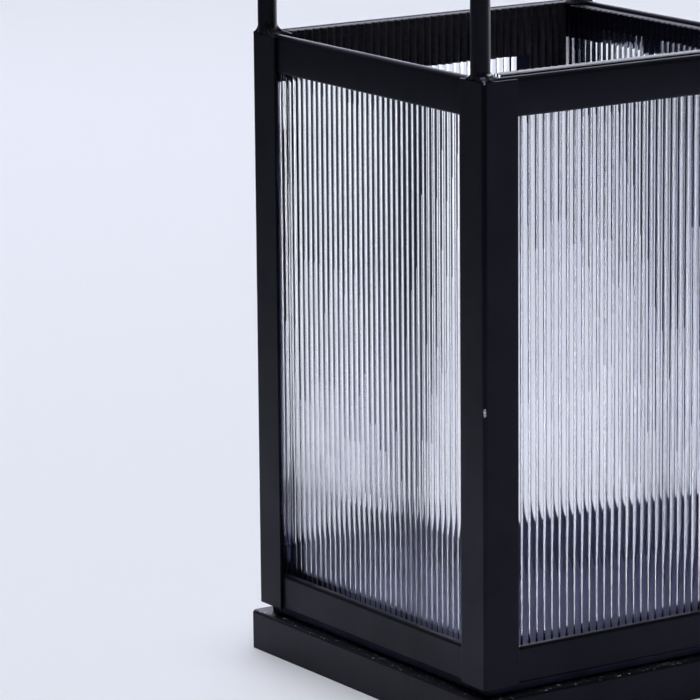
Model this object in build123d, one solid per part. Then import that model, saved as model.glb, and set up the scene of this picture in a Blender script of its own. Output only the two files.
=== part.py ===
from build123d import *
import math
import os

# Square candle lantern: angle posts, flat-bar rails, reeded glass panes, a plinth and a crossed handle.
# Origin in the middle of the plinth's underside, +Z up, front face towards -Y. All sizes in mm.

# Frame
body_width = 125.0
body_height = 184.3
post_leg = 12.5
post_sheet = 1.0
post_corner_radius = 1.2
post_top_step = 0.6
rail_thickness = 3.0
rail_edge_radius = 1.0
top_rail_height = 12.0
back_top_rail_height = 16.5
bottom_rail_height = 11.3
back_bottom_rail_height = 18.5

# Plinth and floor
plinth_overhang = 2.0
plinth_height = 12.5
plinth_sheet = 1.2
plinth_corner_radius = 1.5
plinth_edge_radius = 1.0
floor_thickness = 2.7
floor_under_rail = 1.0

# Reeded glass: how far each pane's top stands above the rails' upper edge
glass_thickness = 4.0
rib_pitch = 2.8
rib_depth = 1.0
pane_end_gap = 0.6
front_pane_rise = 0.5
back_pane_rise = 0.0
left_pane_rise = -2.0
right_pane_rise = -1.0

# Adhesive between the rails and the panes: dabs, and a bead along the back with a smear in one corner
bond_gap = 0.5
dab_width = 7.0
dab_offset = 16.0
dab_top_margin = 3.0
dab_low_margin = 0.4
right_dab_hang = 1.5
smear_width = 14.6
smear_hang = 12.5

# Handle
rod_diameter = 6.0
foot_from_face = 5.1
leg_straight = 24.0
shoulder_radius = 45.0
shoulder_turn = 65.0
saddle_depth = 0.6
bead_size = 2.0

# Places that follow from the sizes above
half_body = body_width / 2
rail_outer = half_body - post_sheet
rail_inner = rail_outer - rail_thickness
pane_outer = rail_inner - bond_gap
pane_inner = pane_outer - glass_thickness
floor_half = rail_inner + floor_under_rail
floor_top = plinth_height + floor_thickness
rail_top = floor_top + body_height
rod_radius = rod_diameter / 2

# Turn about Z that brings a piece made at the front, or at the front left corner, to its own side or corner
side_turn = {"front": 0, "right": 90, "back": 180, "left": 270}
corner_turn = {"front_left": 0, "front_right": 90, "back_right": 180, "back_left": 270}
pane_rise = {
    "front": front_pane_rise,
    "right": right_pane_rise,
    "back": back_pane_rise,
    "left": left_pane_rise,
}


def runs_full(side):
    # The left and right rails and panes run the whole depth, the front and back ones fit between them
    return side in ("left", "right")


def make_plinth():
    width = body_width + 2 * plinth_overhang
    hollow = width - 2 * plinth_sheet
    shell = Pos(0, 0, plinth_height / 2) * Box(width, width, plinth_height)
    shell = fillet(shell.edges().filter_by(Axis.Z), plinth_corner_radius)
    shell = fillet(shell.faces().sort_by(Axis.Z)[-1].edges(), plinth_edge_radius)
    depth = plinth_height - plinth_sheet
    return shell - Pos(0, 0, depth / 2) * Box(hollow, hollow, depth)


def make_floor():
    plate = Box(2 * floor_half, 2 * floor_half, floor_thickness)
    return Pos(0, 0, plinth_height + floor_thickness / 2) * plate


def make_post(turn):
    outer = -half_body
    inner = outer + post_sheet
    tip = outer + post_leg
    outline = Polyline(
        (outer, outer),
        (tip, outer),
        (tip, inner),
        (inner, inner),
        (inner, tip),
        (outer, tip),
        close=True,
    )
    post = extrude(make_face(outline), body_height - post_top_step)
    bend = post.edges().filter_by(Axis.Z).sort_by(lambda edge: edge.center().X + edge.center().Y)[0]
    post = fillet(bend, post_corner_radius)
    return Rot(0, 0, turn) * Pos(0, 0, floor_top) * post


def make_rail(side, height, low):
    length = 2 * rail_outer if runs_full(side) else 2 * rail_inner
    bar = Box(length, rail_thickness, height)
    bar = fillet(bar.edges().filter_by(Axis.X), rail_edge_radius)
    middle = (rail_outer + rail_inner) / 2
    return Rot(0, 0, side_turn[side]) * Pos(0, -middle, low + height / 2) * bar


def top_height(side):
    return back_top_rail_height if side == "back" else top_rail_height


def bottom_height(side):
    return back_bottom_rail_height if side == "back" else bottom_rail_height


def pane_length(side):
    return 2 * (rail_inner if runs_full(side) else pane_inner) - 2 * pane_end_gap


def make_pane(side):
    # Ribs face inwards; what is left over at the two ends is flat, at the depth of the grooves
    length = pane_length(side)
    ribs = int(length // rib_pitch)
    start = -ribs * rib_pitch / 2
    edge = length / 2
    groove = glass_thickness - rib_depth
    lines = [Line((-edge, groove), (start, groove))]
    for rib in range(ribs):
        left = start + rib * rib_pitch
        right = left + rib_pitch
        crest = ((left + right) / 2, glass_thickness)
        lines.append(ThreePointArc((left, groove), crest, (right, groove)))
    front = Polyline((-start, groove), (edge, groove), (edge, 0), (-edge, 0), (-edge, groove))
    lines.append(front)
    section = make_face(Wire([piece for line in lines for piece in line.edges()]))
    pane = extrude(section, body_height + pane_rise[side])
    return Rot(0, 0, side_turn[side]) * Pos(0, -pane_outer, floor_top) * pane


def make_dab(side, low, high):
    # A pressed-flat dab with round ends that fills the gap between a rail and the pane's flat face
    along = dab_offset if runs_full(side) else -dab_offset
    outline = Plane.XZ * Rot(0, 0, 90) * SlotOverall(high - low, dab_width)
    dab = extrude(outline, bond_gap)
    return Rot(0, 0, side_turn[side]) * Pos(along, -pane_outer, (low + high) / 2) * dab


def make_back_bead():
    # A bead along the whole back rail, smeared down beside the back right corner
    length = pane_length("back")
    low = rail_top - back_top_rail_height + dab_low_margin
    high = rail_top - dab_top_margin
    bead = Pos(0, 0, (low + high) / 2) * Box(length, bond_gap, high - low)
    smear_along = (length - smear_width) / 2
    smear = Pos(-smear_along, 0, low - smear_hang / 2) * Box(smear_width, bond_gap, smear_hang)
    return Rot(0, 0, side_turn["back"]) * Pos(0, -pane_outer - bond_gap / 2, 0) * (bead + smear)


foot_x = (rail_outer + rail_inner) / 2
foot_y = half_body - foot_from_face
half_span = math.hypot(foot_x, foot_y)


def make_arch(y_sign, lift):
    # Two straight legs, two round shoulders and one flatter arc over the crown, in an upright plane
    toward = Vector(foot_x, y_sign * foot_y, 0).normalized()

    def spot(along, height):
        return toward * along + Vector(0, 0, rail_top + height)

    def on_arc(centre_along, centre_height, radius, angle):
        turn = math.radians(angle)
        return spot(centre_along + radius * math.cos(turn), centre_height + radius * math.sin(turn))

    leg = leg_straight + lift
    shoulder = half_span - shoulder_radius
    crown_radius = shoulder_radius + shoulder / math.cos(math.radians(shoulder_turn))
    crown_low = leg - shoulder * math.tan(math.radians(shoulder_turn))
    near_angles = (0, shoulder_turn / 2, shoulder_turn)
    crown_angles = (shoulder_turn, 90, 180 - shoulder_turn)
    far_angles = (180 - shoulder_turn, 180 - shoulder_turn / 2, 180)
    near_points = [on_arc(shoulder, leg, shoulder_radius, angle) for angle in near_angles]
    crown_points = [on_arc(0, crown_low, crown_radius, angle) for angle in crown_angles]
    far_points = [on_arc(-shoulder, leg, shoulder_radius, angle) for angle in far_angles]
    path = Wire([
        Edge.make_line(spot(half_span, 0), spot(half_span, leg)),
        Edge.make_three_point_arc(*near_points),
        Edge.make_three_point_arc(*crown_points),
        Edge.make_three_point_arc(*far_points),
        Edge.make_line(spot(-half_span, leg), spot(-half_span, 0)),
    ])
    return sweep(Plane(spot(half_span, 0)) * Circle(rod_radius), path)


def make_bead(x_sign, y_sign):
    # A hollow-faced weld bead round a handle foot, trimmed at the outside of the frame
    reach = rod_radius + bead_size
    dip = bead_size * (1 - math.sqrt(0.5))
    rim = [
        Line((rod_radius, 0), (reach, 0)),
        ThreePointArc((reach, 0), (rod_radius + dip, dip), (rod_radius, bead_size)),
        Line((rod_radius, bead_size), (rod_radius, 0)),
    ]
    section = Plane.XZ * make_face(Wire([line.edge() for line in rim]))
    bead = Pos(x_sign * foot_x, y_sign * foot_y, rail_top) * revolve(section, Axis.Z)
    return bead & Pos(0, 0, rail_top) * Box(body_width, body_width, 2 * bead_size)


parts = {"base_plinth": make_plinth(), "floor_plate": make_floor()}
for corner, turn in corner_turn.items():
    parts["post_" + corner] = make_post(turn)
for side in side_turn:
    height = top_height(side)
    parts["top_rail_" + side] = make_rail(side, height, rail_top - height)
    parts["bottom_rail_" + side] = make_rail(side, bottom_height(side), floor_top)
    parts["pane_" + side] = make_pane(side)

top_low = rail_top - top_rail_height
top_high = rail_top - dab_top_margin
top_dabs = [
    make_dab("front", top_low + dab_low_margin, top_high),
    make_dab("left", top_low + dab_low_margin, top_high),
    make_dab("right", top_low - right_dab_hang, top_high),
    make_back_bead(),
]
bottom_dabs = []
for side in side_turn:
    bottom_high = floor_top + bottom_height(side) - dab_low_margin
    bottom_dabs.append(make_dab(side, floor_top + dab_low_margin, bottom_high))
parts["top_adhesive"] = Compound(children=top_dabs)
parts["bottom_adhesive"] = Compound(children=bottom_dabs)

lower_arch = make_arch(-1, 0)
parts["handle_arch_lower"] = lower_arch
parts["handle_arch_upper"] = make_arch(1, rod_diameter - saddle_depth) - lower_arch
beads = [make_bead(x_sign, y_sign) for x_sign in (-1, 1) for y_sign in (-1, 1)]
parts["handle_welds"] = Compound(children=beads)

os.makedirs("parts", exist_ok=True)
for node, piece in parts.items():
    export_step(piece, "parts/" + node + ".step")
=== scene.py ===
import bpy
import math
import random
from mathutils import Matrix, Vector, noise


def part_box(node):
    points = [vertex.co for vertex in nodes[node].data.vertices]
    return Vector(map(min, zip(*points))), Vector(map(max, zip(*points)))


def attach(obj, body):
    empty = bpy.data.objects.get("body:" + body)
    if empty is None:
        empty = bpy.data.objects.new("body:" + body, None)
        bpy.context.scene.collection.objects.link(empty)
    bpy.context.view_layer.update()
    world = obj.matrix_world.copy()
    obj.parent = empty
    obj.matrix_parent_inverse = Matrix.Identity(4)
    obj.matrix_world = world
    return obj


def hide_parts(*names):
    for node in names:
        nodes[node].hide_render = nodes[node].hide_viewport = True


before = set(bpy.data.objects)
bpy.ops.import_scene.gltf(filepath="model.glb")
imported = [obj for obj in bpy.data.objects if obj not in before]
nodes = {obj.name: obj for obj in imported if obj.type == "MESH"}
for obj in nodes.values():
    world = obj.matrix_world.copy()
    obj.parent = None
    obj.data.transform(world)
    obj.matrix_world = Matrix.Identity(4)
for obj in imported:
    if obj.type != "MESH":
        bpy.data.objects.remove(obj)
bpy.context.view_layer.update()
mm = 0.001
print("frame loaded,", len(nodes), "nodes")

sideTurn = {"front": 0, "right": 90, "back": 180, "left": 270}  # degrees about the upright axis
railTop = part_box("top_rail_front")[1].z
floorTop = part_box("floor_plate")[1].z
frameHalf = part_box("post_front_right")[1].x


# camera, at the angle and framing of the photograph
photoCamera = {
    "azimuth": -33.553,  # degrees, 0 looks straight at the front
    "elevation": 12.341,
    "roll": -0.524,
    "distance": 1456.3 * mm,
    "aimAcross": -56.968 * mm,  # aim point beside the upright axis, along the picture
    "aimHeight": 101.111 * mm,
    "lens": 239.53,
    "sensor": 36.0,
    "clipEnd": 100.0,
}


def placeCamera(values):
    turn = math.radians(values["azimuth"])
    rise = math.radians(values["elevation"])
    tilt = math.radians(values["roll"])
    back = Vector((math.sin(turn) * math.cos(rise), -math.cos(turn) * math.cos(rise), math.sin(rise)))
    across = Vector((0, 0, 1)).cross(back).normalized()
    up = back.cross(across)
    aim = across * values["aimAcross"] + Vector((0, 0, values["aimHeight"]))
    tiltedAcross = across * math.cos(tilt) + up * math.sin(tilt)
    tiltedUp = up * math.cos(tilt) - across * math.sin(tilt)
    place = Matrix((tiltedAcross, tiltedUp, back)).transposed().to_4x4()
    place.translation = aim + back * values["distance"]
    data = bpy.data.cameras.new("photoCamera")
    data.lens = values["lens"]
    data.sensor_width = values["sensor"]
    data.clip_end = values["clipEnd"]
    camera = bpy.data.objects.new("photoCamera", data)
    camera.matrix_world = place
    bpy.context.scene.collection.objects.link(camera)
    bpy.context.scene.camera = camera
    return back


towardCamera = placeCamera(photoCamera)
print("camera placed")


# small helpers for node materials
def newMaterial(name):
    material = bpy.data.materials.new(name)
    material.use_nodes = True
    tree = material.node_tree
    return material, tree, tree.nodes["Principled BSDF"]


def addNode(tree, kind, **values):
    node = tree.nodes.new(kind)
    for key, value in values.items():
        setattr(node, key, value)
    return node


def noiseOf(tree, place, scale, detail=2.0, roughness=0.5, stretch=None):
    texture = addNode(tree, "ShaderNodeTexNoise")
    texture.inputs["Scale"].default_value = scale
    texture.inputs["Detail"].default_value = detail
    texture.inputs["Roughness"].default_value = roughness
    source = place
    if stretch:
        mapping = addNode(tree, "ShaderNodeMapping")
        mapping.inputs["Scale"].default_value = stretch
        tree.links.new(place, mapping.inputs["Vector"])
        source = mapping.outputs["Vector"]
    tree.links.new(source, texture.inputs["Vector"])
    return texture.outputs["Fac"]


def rampOf(tree, factor, stops):
    ramp = addNode(tree, "ShaderNodeValToRGB")
    ramp.color_ramp.elements[0].position = stops[0][0]
    ramp.color_ramp.elements[0].color = stops[0][1]
    ramp.color_ramp.elements[1].position = stops[-1][0]
    ramp.color_ramp.elements[1].color = stops[-1][1]
    for position, color in stops[1:-1]:
        ramp.color_ramp.elements.new(position).color = color
    tree.links.new(factor, ramp.inputs["Fac"])
    return ramp.outputs["Color"]


def rangeOf(tree, factor, low, high, newLow, newHigh):
    span = addNode(tree, "ShaderNodeMapRange")
    span.inputs["From Min"].default_value = low
    span.inputs["From Max"].default_value = high
    span.inputs["To Min"].default_value = newLow
    span.inputs["To Max"].default_value = newHigh
    tree.links.new(factor, span.inputs["Value"])
    return span.outputs["Result"]


def mathOf(tree, operation, first, second):
    step = addNode(tree, "ShaderNodeMath", operation=operation)
    for socket, value in zip(step.inputs, (first, second)):
        if isinstance(value, (int, float)):
            socket.default_value = value
        else:
            tree.links.new(value, socket)
    return step.outputs["Value"]


def mixOf(tree, factor, first, second):
    mix = addNode(tree, "ShaderNodeMix", data_type="RGBA")
    tree.links.new(factor, mix.inputs["Factor"])
    for socket, value in ((mix.inputs[6], first), (mix.inputs[7], second)):  # the two colour sockets
        if isinstance(value, tuple):
            socket.default_value = value
        else:
            tree.links.new(value, socket)
    return mix.outputs[2]


def bumpOf(tree, shader, height, strength, distance):
    bump = addNode(tree, "ShaderNodeBump")
    bump.inputs["Strength"].default_value = strength
    bump.inputs["Distance"].default_value = distance
    tree.links.new(height, bump.inputs["Height"])
    tree.links.new(bump.outputs["Normal"], shader.inputs["Normal"])


def objectPlace(tree):
    return addNode(tree, "ShaderNodeTexCoord").outputs["Object"]


# stage: pale floor, soft light from above and behind
studio = {
    "floorSize": 14.0,
    "floorColor": (0.80, 0.815, 0.87, 1.0),
    "floorMottle": 1.01,  # how much paler the pale patches are
    "worldColor": (0.80, 0.86, 1.0, 1.0),
    "worldStrength": 0.04,
    "lightColor": (0.97, 0.98, 1.0),
    "lights": {  # size across and along, place to the right, behind and up, lean and turn in degrees
        "top": {"size": (0.82, 3.9), "place": (-0.05, 0.75, 1.0), "spread": 21.0, "power": 7.8},
        "side": {"size": (1.0, 1.6), "place": (0.88, 0.80, 1.0), "spread": 24.0, "power": 9.5},
        "fill": {"size": (0.72, 0.7), "place": (0.70, -0.30, 1.0), "spread": 24.0, "power": 1.8},
        "back": {
            "size": (3.2, 1.5),
            "place": (-0.7, 2.4, 1.2),
            "spread": 120.0,
            "power": 27.0,
            "color": (0.80, 0.82, 1.0),
            "lean": -90,
        },
        "rim": {  # a low strip that catches the right edge of the rods
            "size": (0.36, 0.16),
            "place": (0.75, 0.65, 0.33),
            "spread": 20.0,
            "power": 0.6,
            "lean": -90,
            "turn": -49,
        },
    },
}


def floorMaterial(values):
    material, tree, shader = newMaterial("stage_floor")
    place = objectPlace(tree)
    cloud = noiseOf(tree, place, 3.0, 3.0)
    color = values["floorColor"]
    lighter = tuple(min(1.0, part * values["floorMottle"]) for part in color[:3]) + (1.0,)
    tone = rampOf(tree, cloud, [(0.3, color), (0.7, lighter)])
    tree.links.new(tone, shader.inputs["Base Color"])
    shader.inputs["Roughness"].default_value = 0.9
    shader.inputs["Specular IOR Level"].default_value = 0.1
    return material


def softBox(kind, values, plainColor):
    light = bpy.data.lights.new(kind + "_light", "AREA")
    light.shape = "RECTANGLE"
    light.size, light.size_y = values["size"]
    light.energy = values["power"]
    light.spread = math.radians(values["spread"])
    light.color = values.get("color", plainColor)
    behind = Vector((-towardCamera.x, -towardCamera.y, 0)).normalized()
    across, back, up = values["place"]
    lamp = bpy.data.objects.new(kind + "_light", light)
    lamp.location = Vector((behind.y, -behind.x, 0)) * across + behind * back + Vector((0, 0, up))
    heading = math.atan2(behind.y, behind.x) - math.pi / 2 + math.radians(values.get("turn", 0))
    lamp.rotation_euler = (math.radians(values.get("lean", 0)), 0, heading)
    bpy.context.scene.collection.objects.link(lamp)


def buildStage(values):
    half = values["floorSize"] / 2
    mesh = bpy.data.meshes.new("stage_floor")
    corners = [(-half, -half, 0), (half, -half, 0), (half, half, 0), (-half, half, 0)]
    mesh.from_pydata(corners, [], [(0, 1, 2, 3)])
    mesh.materials.append(floorMaterial(values))
    floor = bpy.data.objects.new("stage_floor", mesh)
    bpy.context.scene.collection.objects.link(floor)

    world = bpy.data.worlds.new("studio")
    world.use_nodes = True
    background = world.node_tree.nodes["Background"]
    background.inputs["Color"].default_value = values["worldColor"]
    background.inputs["Strength"].default_value = values["worldStrength"]
    bpy.context.scene.world = world

    for kind, light in values["lights"].items():
        softBox(kind, light, values["lightColor"])
    bpy.context.scene.view_settings.view_transform = "Standard"


buildStage(studio)
print("stage and lights ready")


# black paint on steel
blackPaint = {
    "shade": (0.0036, 0.0036, 0.0052, 1.0),
    "lightShade": (0.0060, 0.0060, 0.0088, 1.0),
    "reflectTint": (0.66, 0.67, 1.0, 1.0),
    "speck": (0.55, 0.56, 0.60, 1.0),
    "speckFrom": 0.0,  # height over which pale grit lies, 0 for none
    "speckScale": 1100.0,
    "speckLimit": 0.70,  # higher for fewer grains
    "chip": (0.88, 0.89, 0.90, 1.0),
    "chipPlaces": [  # x, y, z and size of each bare nick, mm
        (-62.3, -62.3, 99.8, 0.45),
        (-62.3, -62.3, 100.7, 0.55),
        (-62.3, -62.3, 101.5, 0.35),
        (-62.1, -62.4, 198.6, 0.25),
    ],
    "chipScale": 2200.0,
    "chipRagged": 0.9,  # mm
    "roughness": (0.34, 0.46),
    "specular": 0.19,
    "cloudScale": 55.0,
    "grainScale": 1500.0,
    "grainDepth": 0.02 * mm,
}
# painted light: the handle rods take a lighter copy of the black paint, standing in for the light they
# catch
rodPaintPaintedLight = dict(
    blackPaint,
    shade=(0.0085, 0.0088, 0.0105, 1.0),
    lightShade=(0.0125, 0.013, 0.0155, 1.0),
)
# painted light: the floor plate's black paint gets a pale blue-grey base standing in for the light and
# reflections on it; one bare chip
floorPaintPaintedLight = dict(
    blackPaint,
    shade=(0.032, 0.034, 0.064, 1.0),
    lightShade=(0.051, 0.053, 0.095, 1.0),
    roughness=(0.5, 0.62),
    specular=0.05,
    chipPlaces=[(18.0, -30.0, floorTop / mm, 0.3)],
)
grittyPaint = dict(blackPaint, speckFrom=12.2 * mm)
sheetEdge = 0.25 * mm  # round on the edges of the posts and the floor plate


def chipMask(tree, place, values):
    # ragged round spots where the paint is knocked off
    rough = values["chipRagged"]
    ragged = mathOf(tree, "MULTIPLY", noiseOf(tree, place, values["chipScale"], 2.0), rough * mm)
    mask = None
    for x, y, z, size in values["chipPlaces"]:
        gap = addNode(tree, "ShaderNodeVectorMath", operation="DISTANCE")
        gap.inputs[1].default_value = (x * mm, y * mm, z * mm)
        tree.links.new(place, gap.inputs[0])
        reach = mathOf(tree, "ADD", gap.outputs["Value"], ragged)
        spot = mathOf(tree, "LESS_THAN", reach, (size + rough / 2) * mm)
        mask = mathOf(tree, "MAXIMUM", mask, spot) if mask else spot
    return mask


def gritMask(tree, place, values):
    # pale grit lying on the upper face
    split = addNode(tree, "ShaderNodeSeparateXYZ")
    tree.links.new(place, split.inputs["Vector"])
    high = mathOf(tree, "GREATER_THAN", split.outputs["Z"], values["speckFrom"])
    grain = noiseOf(tree, place, values["speckScale"], 1.0)
    return mathOf(tree, "MULTIPLY", high, mathOf(tree, "GREATER_THAN", grain, values["speckLimit"]))


def paintMaterial(name, values):
    material, tree, shader = newMaterial(name)
    place = objectPlace(tree)
    cloud = noiseOf(tree, place, values["cloudScale"], 4.0, 0.55)
    tone = rampOf(tree, cloud, [(0.35, values["shade"]), (0.7, values["lightShade"])])
    tone = mixOf(tree, chipMask(tree, place, values), tone, values["chip"])
    if values["speckFrom"]:
        tone = mixOf(tree, gritMask(tree, place, values), tone, values["speck"])
    tree.links.new(tone, shader.inputs["Base Color"])
    gloss = rangeOf(tree, cloud, 0.3, 0.7, values["roughness"][1], values["roughness"][0])
    tree.links.new(gloss, shader.inputs["Roughness"])
    shader.inputs["Specular IOR Level"].default_value = values["specular"]
    shader.inputs["Specular Tint"].default_value = values["reflectTint"]
    grain = noiseOf(tree, place, values["grainScale"], 2.0, 0.6)
    bumpOf(tree, shader, grain, 0.35, values["grainDepth"])
    return material


framePaint = paintMaterial("black_paint", blackPaint)
# painted light on the handle rods
handlePaintPaintedLight = paintMaterial("handle_black_paint_painted_light", rodPaintPaintedLight)
# painted light on the floor plate
floorPaint = paintMaterial("floor_black_paint_painted_light", floorPaintPaintedLight)
plinthPaint = paintMaterial("gritty_black_paint", grittyPaint)


def dressNode(name, material, bevel=None):
    node = nodes[name]
    node.data.materials.clear()
    node.data.materials.append(material)
    if bevel:
        weld = node.modifiers.new("weld", "WELD")
        weld.merge_threshold = 0.001 * mm
        edge = node.modifiers.new("edge", "BEVEL")
        edge.width = bevel
        edge.segments = 2
        edge.limit_method = "ANGLE"
        edge.angle_limit = math.radians(40)
        edge.harden_normals = True


for name in sorted(nodes):
    if name.startswith("post_"):
        dressNode(name, framePaint, sheetEdge)
    elif name == "floor_plate":
        dressNode(name, floorPaint, sheetEdge)
    elif name == "base_plinth":
        dressNode(name, plinthPaint)
    elif name.startswith("handle_arch_"):
        dressNode(name, handlePaintPaintedLight)
    elif name.startswith("bottom_rail_"):
        dressNode(name, framePaint)


# pieces made here take the place of a node's plain mesh
def addPiece(name, verts, faces, materials, node, smoothAngle):
    mesh = bpy.data.meshes.new(name)
    mesh.from_pydata(verts, [], faces)
    for material in materials:
        mesh.materials.append(material)
    mesh.shade_smooth()
    mesh.set_sharp_from_angle(angle=math.radians(smoothAngle))
    piece = bpy.data.objects.new(name, mesh)
    bpy.context.scene.collection.objects.link(piece)
    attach(piece, "root")
    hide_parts(node)
    return piece


def turnOf(side):
    return Matrix.Rotation(math.radians(sideTurn[side]), 4, "Z")


def sideBox(name, side):
    # half length along the side, nearest and furthest distance from the middle, low and high
    low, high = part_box(name)
    axis = 0 if side in ("left", "right") else 1
    reaches = sorted((abs(low[axis]), abs(high[axis])))
    return high[1 - axis], reaches[0], reaches[1], low.z, high.z


# top rails, with a worn round on the outer upper edge
topRail = {
    "outerTop": 1.6 * mm,
    "innerTop": 1.2 * mm,
    "bottom": 0.8 * mm,
    "arcSteps": 7,
    "bays": 12,
    "smoothAngle": 40,
}


def railSection(thick, low, high, values):
    corners = [
        (values["outerTop"], values["outerTop"], high - values["outerTop"], 180),
        (values["innerTop"], thick - values["innerTop"], high - values["innerTop"], 90),
        (values["bottom"], thick - values["bottom"], low + values["bottom"], 0),
        (values["bottom"], values["bottom"], low + values["bottom"], 270),
    ]
    points = []
    for radius, depth, height, start in corners:
        for step in range(values["arcSteps"] + 1):
            angle = math.radians(start - 90 * step / values["arcSteps"])
            points.append((depth + radius * math.cos(angle), height + radius * math.sin(angle)))
    return points


def buildTopRail(side, values):
    half, near, far, low, high = sideBox("top_rail_" + side, side)
    section = railSection(far - near, low, high, values)
    turn = turnOf(side)
    count = len(section)
    bays = values["bays"]
    verts, faces = [], []
    for bay in range(bays + 1):
        along = half * (2 * bay / bays - 1)
        verts += [turn @ Vector((along, -far + depth, height)) for depth, height in section]
    for bay in range(bays):
        for point in range(count):
            one = bay * count + point
            two = bay * count + (point + 1) % count
            faces.append((one, two, two + count, one + count))
    faces.append(tuple(reversed(range(count))))
    faces.append(tuple(range(bays * count, (bays + 1) * count)))
    node = "top_rail_" + side
    addPiece("rail_top_" + side, verts, faces, [framePaint], node, values["smoothAngle"])


for side in sideTurn:
    buildTopRail(side, topRail)
print("steel painted")


# reeded glass panes
reededGlass = {
    "ribPitch": 2.8 * mm,
    "ribDepth": 1.0 * mm,
    "stepsPerRib": 16,
    "rows": 24,
    "chamfer": 0.3 * mm,
    "unevenness": 0.02,
    "smoothAngle": 35,
    "tint": (0.968, 0.974, 1.0, 1.0),
    "tintDark": (0.952, 0.959, 0.995, 1.0),
    "tintScale": 40.0,
    "reflectTint": (0.36, 0.37, 0.90, 1.0),
    "ior": 1.5,
    "smearScale": 120.0,
    "smearStretch": (1, 1, 0.15),
    "smearRoughness": 0.03,
    "rippleScale": 700.0,
    "rippleStretch": (1, 1, 0.25),
    "rippleStrength": 0.05,
    "rippleDepth": 0.01 * mm,
}

# matt finishes that let no light through: grain scale and the tones along the grain
glassFinishes = {
    "ground_edge": (1800.0, [(0.35, (0.20, 0.205, 0.235, 1.0)), (0.65, (0.33, 0.335, 0.37, 1.0))]),
    # dark stained edge; its rare pale flecks are painted glints
    "stained_edge_painted_glints": (
        900.0,
        [
            (0.4, (0.018, 0.018, 0.024, 1.0)),
            (0.62, (0.050, 0.052, 0.068, 1.0)),
            (0.72, (0.35, 0.36, 0.40, 1.0)),
        ],
    ),
    # painted shade: near-black strips on the groove sides, standing in for the dark surroundings seen
    # through the ribs
    "groove_painted_shade": (700.0, [(0.35, (0.0025, 0.0025, 0.006, 1.0)), (0.65, (0.009, 0.009, 0.018, 1.0))]),
    "black_coat": (700.0, [(0.35, (0.014, 0.014, 0.021, 1.0)), (0.65, (0.028, 0.028, 0.039, 1.0))]),
}

mattSurface = {"roughness": (0.45, 0.65), "specular": 0.25, "gritDepth": 0.03 * mm}

# painted shade in the grooves, dark strips standing in for the dark surroundings seen through the ribs,
# and a black coat inside the back; heights are shares of the pane's height
groovePaintedShade = {
    "heights": {  # where each groove darkens one step wider
        "front": (0.45, 0.68, 0.95),
        "right": (0.45,),
        "back": (0.45,),
        "left": (0.25, 0.37, 0.58, 0.95),
    },
    "heavy": {  # where along the pane, -1 to 1, the painted shade hangs lower, how widely and by how much
        "front": [(0.20, 0.25, 0.45)],
        "right": [(0.3, 0.4, 0.2)],
        "back": [(-0.2, 0.4, 0.2)],
        "left": [(0.28, 0.16, 0.42), (0.78, 0.28, -0.45), (-0.97, 0.10, -0.80)],
    },
    "ragged": 0.06,
    "end": {"front": 1.0, "right": 1.0, "back": 0.80, "left": 1.0},
    "footPaintedShade": {"front": 0.115, "right": 0.09, "back": 0.0, "left": 0.0},  # painted shade at the foot, the grooves darker towards the bottom
    "footPaintedShadeSteps": 1,
    "coatFrom": {"front": 2.0, "right": 2.0, "back": 0.91, "left": 2.0},  # over 1 for no coat
    "coatDip": 0.04,  # the coat reaches lower near one end
    "coatDipFrom": 38.0 * mm,
}
paneMaterial = {"clear": 0, "edge": 1, "paintedShade": 2, "coat": 3}


def glassMaterial(values):
    material, tree, shader = newMaterial("reeded_glass")
    place = objectPlace(tree)
    cloud = noiseOf(tree, place, values["tintScale"], 3.0)
    tone = rampOf(tree, cloud, [(0.3, values["tintDark"]), (0.7, values["tint"])])
    tree.links.new(tone, shader.inputs["Base Color"])
    smear = noiseOf(tree, place, values["smearScale"], 3.0, 0.5, values["smearStretch"])
    gloss = rangeOf(tree, smear, 0.4, 0.8, 0.0, values["smearRoughness"])
    tree.links.new(gloss, shader.inputs["Roughness"])
    shader.inputs["IOR"].default_value = values["ior"]
    shader.inputs["Specular Tint"].default_value = values["reflectTint"]
    shader.inputs["Transmission Weight"].default_value = 1.0
    ripple = noiseOf(tree, place, values["rippleScale"], 2.0, 0.5, values["rippleStretch"])
    bumpOf(tree, shader, ripple, values["rippleStrength"], values["rippleDepth"])
    return material


def mattMaterial(name, scale, stops, values):
    material, tree, shader = newMaterial(name)
    place = objectPlace(tree)
    grit = noiseOf(tree, place, scale, 3.0, 0.6)
    tree.links.new(rampOf(tree, grit, stops), shader.inputs["Base Color"])
    gloss = rangeOf(tree, grit, 0.3, 0.7, values["roughness"][0], values["roughness"][1])
    tree.links.new(gloss, shader.inputs["Roughness"])
    shader.inputs["Specular IOR Level"].default_value = values["specular"]
    bumpOf(tree, shader, grit, 0.4, values["gritDepth"])
    return material


clearGlass = glassMaterial(reededGlass)
glassMatt = {name: mattMaterial(name, *finish, mattSurface) for name, finish in glassFinishes.items()}


def ribProfile(length, values, draw):
    # points along the pane and their height over the grooves: flat end, round ribs, flat end
    pitch = values["ribPitch"]
    count = int(round(length / mm, 3) // (pitch / mm))
    start = -count * pitch / 2
    half = pitch / 2
    points = [(-length / 2, 0.0)]
    for rib in range(count):
        middle = start + (rib + 0.5) * pitch
        rise = values["ribDepth"] * (1 - values["unevenness"] * draw.random())
        radius = (half * half + rise * rise) / (2 * rise)
        swing = math.asin(half / radius) if rise < half else math.pi / 2
        for step in range(values["stepsPerRib"]):
            angle = swing * (2 * step / values["stepsPerRib"] - 1)
            points.append((middle + radius * math.sin(angle), rise - radius * (1 - math.cos(angle))))
    points.append((-start, 0.0))
    points.append((length / 2, 0.0))
    return points


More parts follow.
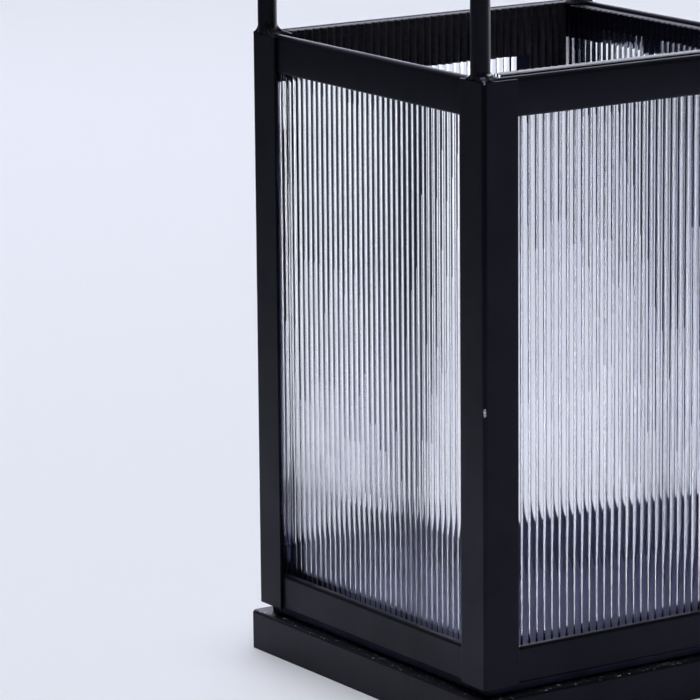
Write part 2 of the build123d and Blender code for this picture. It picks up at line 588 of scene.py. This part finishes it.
def paintedShadeStarts(side, ribs, paintedShade, draw):
    starts = []
    for rib in range(ribs):
        lower = 0.0
        for middle, width, drop in paintedShade["heavy"][side]:
            away = (2 * (rib + 0.5) / ribs - 1 - middle) / width
            lower += drop * math.exp(-away * away)
        rag = paintedShade["ragged"]
        starts.append([share - lower + draw.uniform(-rag, rag) for share in paintedShade["heights"][side]])
    return starts


def innerFinish(side, step, along, height, starts, paintedShade):
    # what covers one strip of the ribbed face at this height
    dip = paintedShade["coatDip"] if along < -paintedShade["coatDipFrom"] else 0.0
    if height > paintedShade["coatFrom"][side] - dip:
        return paneMaterial["coat"]
    perRib = reededGlass["stepsPerRib"]
    rib, part = divmod(step - 1, perRib)
    if not 0 <= rib < len(starts):
        return paneMaterial["clear"]
    # painted shade: the strips beside each groove go dark from these heights up
    wide = sum(share < height < paintedShade["end"][side] for share in starts[rib])
    # painted shade: every groove darkens near the foot of the pane
    if height < paintedShade["footPaintedShade"][side]:
        wide = max(wide, paintedShade["footPaintedShadeSteps"])
    inward = min(part, perRib - 1 - part)
    return paneMaterial["paintedShade"] if inward < wide else paneMaterial["clear"]


def buildPane(side, values):
    half, near, far, low, high = sideBox("pane_" + side, side)
    draw = random.Random("pane " + side)
    profile = ribProfile(2 * half, values, draw)
    turn = turnOf(side)
    chamfer = values["chamfer"]
    rows = values["rows"]
    clearHeight = high - low - 2 * chamfer
    levels = [low, low + chamfer]
    levels += [low + chamfer + clearHeight * row / rows for row in range(1, rows + 1)]
    levels.append(high)
    last = len(levels) - 1
    groove = -near - values["ribDepth"]
    verts = []
    for level, height in enumerate(levels):
        inset = chamfer if level in (0, last) else 0.0
        verts += [turn @ Vector((along, -far + inset, height)) for along, rise in profile]
        verts += [turn @ Vector((along, groove + rise - inset, height)) for along, rise in profile]
    count = len(profile)
    ring = 2 * count
    starts = paintedShadeStarts(side, (count - 3) // values["stepsPerRib"], groovePaintedShade, draw)
    faces = []
    covers = {}  # finish of each strip of the ribbed face, by face number
    for level in range(last):
        base = level * ring
        share = (levels[level] - low) / (high - low)
        for step in range(count - 1):
            faces.append((base + step, base + step + 1, base + ring + step + 1, base + ring + step))
            inside = base + count + step
            covers[len(faces)] = innerFinish(side, step, profile[step][0], share, starts, groovePaintedShade)
            faces.append((inside + 1, inside, inside + ring, inside + ring + 1))
        faces.append((base + count, base, base + ring, base + ring + count))
        faces.append((base + count - 1, base + ring - 1, base + 2 * ring - 1, base + ring + count - 1))
    top = last * ring
    for step in range(count - 1):
        faces.append((step + 1, step, count + step, count + step + 1))
        faces.append((top + step, top + step + 1, top + count + step + 1, top + count + step))
    edge = glassMatt["ground_edge" if side == "front" else "stained_edge_painted_glints"]
    materials = [clearGlass, edge, glassMatt["groove_painted_shade"], glassMatt["black_coat"]]
    node = "pane_" + side
    pane = addPiece("glass_" + side, verts, faces, materials, node, values["smoothAngle"])
    for face in pane.data.polygons:
        if abs(face.normal.z) > 0.5:  # top, bottom and their chamfers
            face.material_index = paneMaterial["edge"]
        else:
            face.material_index = covers.get(face.index, paneMaterial["clear"])


for side in sideTurn:
    buildPane(side, reededGlass)
print("glass panes made")


# black glazing adhesive between the rails and the flat face of the glass
blackAdhesive = {
    "shade": (0.0042, 0.0042, 0.0075, 1.0),
    "lightShade": (0.0085, 0.0085, 0.0145, 1.0),
    "cloudScale": 260.0,
    "lumpDepth": 0.05 * mm,
    "roughness": (0.45, 0.7),
    "specular": 0.12,
    "smoothAngle": 40,
    "column": 0.4 * mm,
    "wave": 0.35 * mm,
    "waveLength": 2.2 * mm,
    "leastHeight": 0.15 * mm,
    "wetting": 0.03 * mm,  # how far the adhesive keys into the glass
    "endGap": 0.05 * mm,  # between a full bead and the pane's ends
    "dabAt": 16.0 * mm,
    "dabWide": 7.0 * mm,
    "dabMargin": 0.5 * mm,
    "dabTop": 3.0 * mm,  # from the top of the rails
    "frontDabLower": 0.2 * mm,
    "beadMargin": 0.3 * mm,
}
frontLip = {"low": 2.5 * mm, "high": 0.25 * mm, "wave": 0.1 * mm}  # below and above the top of the rails
rightBead = {
    "low": 4.5 * mm,  # over the rail's lower edge, as far as the corner
    "cornerFrom": 40.0 * mm,
    "dabAt": 14.6 * mm,
    "dabWide": 8.4 * mm,
    "dabHang": 1.2 * mm,
    "dabTop": 7.5 * mm,
    "dabWetting": 0.02 * mm,
}
backBead = {
    "high": railTop - 0.2 * mm,
    "low": railTop - 16.3 * mm,
    "smearFrom": 38.8 * mm,  # across the back, towards the back right corner
    "smearLow": railTop - 28.5 * mm,
    "smearRound": 4.0 * mm,
    "smearRise": 3.5 * mm,
    "dripLength": 3.2 * mm,
    "dripDepth": 1.6 * mm,
    "fingerAt": 36.4 * mm,
    "fingerWide": 1.3 * mm,
    "fingerLow": railTop - 26.0 * mm,
}


def adhesiveMaterial(values):
    material, tree, shader = newMaterial("black_adhesive")
    place = objectPlace(tree)
    cloud = noiseOf(tree, place, values["cloudScale"], 3.0, 0.55)
    tone = rampOf(tree, cloud, [(0.35, values["shade"]), (0.7, values["lightShade"])])
    tree.links.new(tone, shader.inputs["Base Color"])
    gloss = rangeOf(tree, cloud, 0.3, 0.7, values["roughness"][0], values["roughness"][1])
    tree.links.new(gloss, shader.inputs["Roughness"])
    shader.inputs["Specular IOR Level"].default_value = values["specular"]
    bumpOf(tree, shader, cloud, 0.3, values["lumpDepth"])
    return material


adhesive = adhesiveMaterial(blackAdhesive)


# a patch is its start, its end, and its lower and upper edge along the side
def roundDab(middle, width, low, high):
    half = width / 2

    def cut(along):
        return half - math.sqrt(max(0.0, half * half - (along - middle) ** 2))

    return (middle - half, middle + half, lambda along: low + cut(along), lambda along: high - cut(along))


def sideDab(side, low, high, values):
    middle = values["dabAt"] if side in ("left", "right") else -values["dabAt"]
    return roundDab(middle, values["dabWide"], low, high)


def fullBead(side, lowEdge, high, values):
    half = sideBox("pane_" + side, side)[0] - values["endGap"]
    return (-half, half, lowEdge, lambda along: high)


def backEdge(along):
    across = -along
    if across > backBead["smearFrom"]:
        inside = max(0.0, 1 - (across - backBead["smearFrom"]) / backBead["smearRound"])
        drip = noise.noise((across / backBead["dripLength"], 2.5, 0))
        return backBead["smearLow"] + backBead["smearRise"] * inside ** 2 + backBead["dripDepth"] * drip
    if abs(across - backBead["fingerAt"]) < backBead["fingerWide"] / 2:
        return backBead["fingerLow"]
    return backBead["low"]


def addPatch(verts, faces, side, patch, values):
    start, end, lowEdge, highEdge = patch
    turn = turnOf(side)
    near = sideBox("top_rail_" + side, side)[1]
    far = sideBox("pane_" + side, side)[2] - values["wetting"]
    columns = max(4, math.ceil((end - start) / values["column"]))
    base = len(verts)
    for column in range(columns + 1):
        along = start + (end - start) * column / columns
        wavePlace = along / values["waveLength"]
        shake = [values["wave"] * noise.noise((wavePlace, seed, near * 50)) for seed in (0.3, 7.7)]
        low = lowEdge(along) + shake[0]
        high = max(highEdge(along) + shake[1] * 0.5, low + values["leastHeight"])
        for depth, height in ((near, low), (near, high), (far, high), (far, low)):
            verts.append(turn @ Vector((along, -depth, height)))
    for column in range(columns):
        one = base + 4 * column
        for corner in range(4):
            following = (corner + 1) % 4
            faces.append((one + corner, one + 4 + corner, one + 4 + following, one + following))
    faces.append((base, base + 1, base + 2, base + 3))
    last = base + 4 * columns
    faces.append((last + 3, last + 2, last + 1, last))


def topPatches(values):
    # side, patch and its own changes to the values
    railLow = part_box("top_rail_front")[0].z
    dabLow = railLow + values["dabMargin"]
    dabHigh = railTop - values["dabTop"]
    rightTop = sideBox("pane_right", "right")[4] - values["beadMargin"]
    rightLow = railLow - rightBead["dabHang"]
    rightHigh = railLow + rightBead["dabTop"]
    rightDab = roundDab(rightBead["dabAt"], rightBead["dabWide"], rightLow, rightHigh)

    def rightEdge(along):
        return railLow if along > rightBead["cornerFrom"] else railLow + rightBead["low"]

    lip = fullBead("front", lambda along: railTop - frontLip["low"], railTop + frontLip["high"], values)
    return [
        ("front", sideDab("front", dabLow, dabHigh - values["frontDabLower"], values), {}),
        ("left", sideDab("left", dabLow, dabHigh, values), {}),
        ("right", rightDab, {"wetting": rightBead["dabWetting"]}),
        ("right", fullBead("right", rightEdge, rightTop, values), {}),
        ("back", fullBead("back", backEdge, backBead["high"], values), {}),
        ("front", lip, {"wave": frontLip["wave"]}),
    ]


def bottomPatch(side, values):
    low, high = sideBox("bottom_rail_" + side, side)[3:]
    lowEnd = low + values["dabMargin"]
    if side in ("right", "back"):
        return fullBead(side, lambda along: lowEnd, high - values["beadMargin"], values)
    return sideDab(side, lowEnd, high - values["dabMargin"], values)


def buildAdhesive(name, node, patches, values):
    verts, faces = [], []
    for side, patch, changes in patches:
        addPatch(verts, faces, side, patch, dict(values, **changes))
    addPiece(name, verts, faces, [adhesive], node, values["smoothAngle"])


bottomPatches = [(side, bottomPatch(side, blackAdhesive), {}) for side in sideTurn]
buildAdhesive("adhesive_top", "top_adhesive", topPatches(blackAdhesive), blackAdhesive)
buildAdhesive("adhesive_bottom", "bottom_adhesive", bottomPatches, blackAdhesive)
print("adhesive laid")


# weld beads round the handle feet, uneven and lumpy
handleWelds = {
    "rodRadius": 3.0 * mm,
    "footFromSide": 2.5 * mm,
    "footFromFront": 5.1 * mm,
    "reach": 1.9 * mm,
    "reachUneven": 0.25,
    "height": 1.9 * mm,
    "heightUneven": 0.2,
    "sink": 0.55 * mm,
    "insideRod": 0.35 * mm,
    "underSkin": 0.1 * mm,
    "faceGap": 0.02 * mm,  # kept from the outer faces of the frame
    "lumpSize": 3.0 * mm,
    "turns": 72,
    "steps": 7,
    "smoothAngle": 70,
    "feet": {  # corner: lumps at an angle, degrees, with added reach and height, mm, and width, degrees
        "front_left": [(358, 1.8, 1.6, 26), (262, 0.8, 1.4, 20), (205, 1.0, 2.2, 22), (90, 1.2, 0.6, 30)],
        "back_left": [(326, 2.4, 1.8, 26), (236, 2.2, 2.6, 28), (146, 1.5, 1.0, 30), (60, 1.2, 0.6, 24)],
        "back_right": [(230, 2.2, 1.8, 28), (180, 1.6, 1.2, 22), (310, 1.0, 0.8, 24)],
        "front_right": [(150, 2.0, 1.2, 26), (80, 1.3, 0.8, 24), (260, 0.9, 1.2, 20)],
    },
}


def beadSize(angle, middle, toward, lumps, values):
    reach, height = values["reach"], values["height"]
    for at, addReach, addHeight, wide in lumps:
        away = (math.degrees(angle) - at + 180) % 360 - 180
        share = math.exp(-(away / wide) ** 2)
        reach += addReach * mm * share
        height += addHeight * mm * share
    place = middle / values["lumpSize"]
    reach *= 1 + values["reachUneven"] * noise.noise(place + toward * 1.7)
    height *= 1 + values["heightUneven"] * noise.noise(place + toward * 2.3 + Vector((9, 0, 0)))
    return reach, height


def beadSection(reach, height, values):
    # hollow-faced, from inside the rod round to inside the rod again
    inside = values["rodRadius"] - values["insideRod"]
    points = [(inside, -values["sink"])]
    for step in range(values["steps"] + 1):
        share = step / values["steps"] * math.pi / 2
        out = values["rodRadius"] - values["underSkin"] + reach * (1 - math.sin(share) ** 0.8)
        up = height * (1 - math.cos(share) ** 0.9) if step else -values["sink"]
        points.append((out, up))
    points.append((inside, height))
    return points


def addBead(verts, faces, middle, lumps, values):
    base = len(verts)
    limit = frameHalf - values["faceGap"]
    for turn in range(values["turns"]):
        angle = 2 * math.pi * turn / values["turns"]
        toward = Vector((math.cos(angle), math.sin(angle), 0))
        reach, height = beadSize(angle, middle, toward, lumps, values)
        for out, up in beadSection(reach, height, values):
            spot = middle + toward * out
            spot.x = max(-limit, min(limit, spot.x))
            spot.y = max(-limit, min(limit, spot.y))
            spot.z = railTop + up
            verts.append(spot)
    count = values["steps"] + 3
    for turn in range(values["turns"]):
        one = base + turn * count
        two = base + (turn + 1) % values["turns"] * count
        for step in range(count):
            following = (step + 1) % count
            faces.append((one + step, two + step, two + following, one + following))


def buildWelds(values):
    verts, faces = [], []
    footX = frameHalf - values["footFromSide"]
    footY = frameHalf - values["footFromFront"]
    for corner, lumps in values["feet"].items():
        end, hand = corner.split("_")
        middle = Vector((footX if hand == "right" else -footX, footY if end == "back" else -footY, 0))
        addBead(verts, faces, middle, lumps, values)
    addPiece("weld_beads", verts, faces, [framePaint], "handle_welds", values["smoothAngle"])


buildWelds(handleWelds)
print("weld beads made")
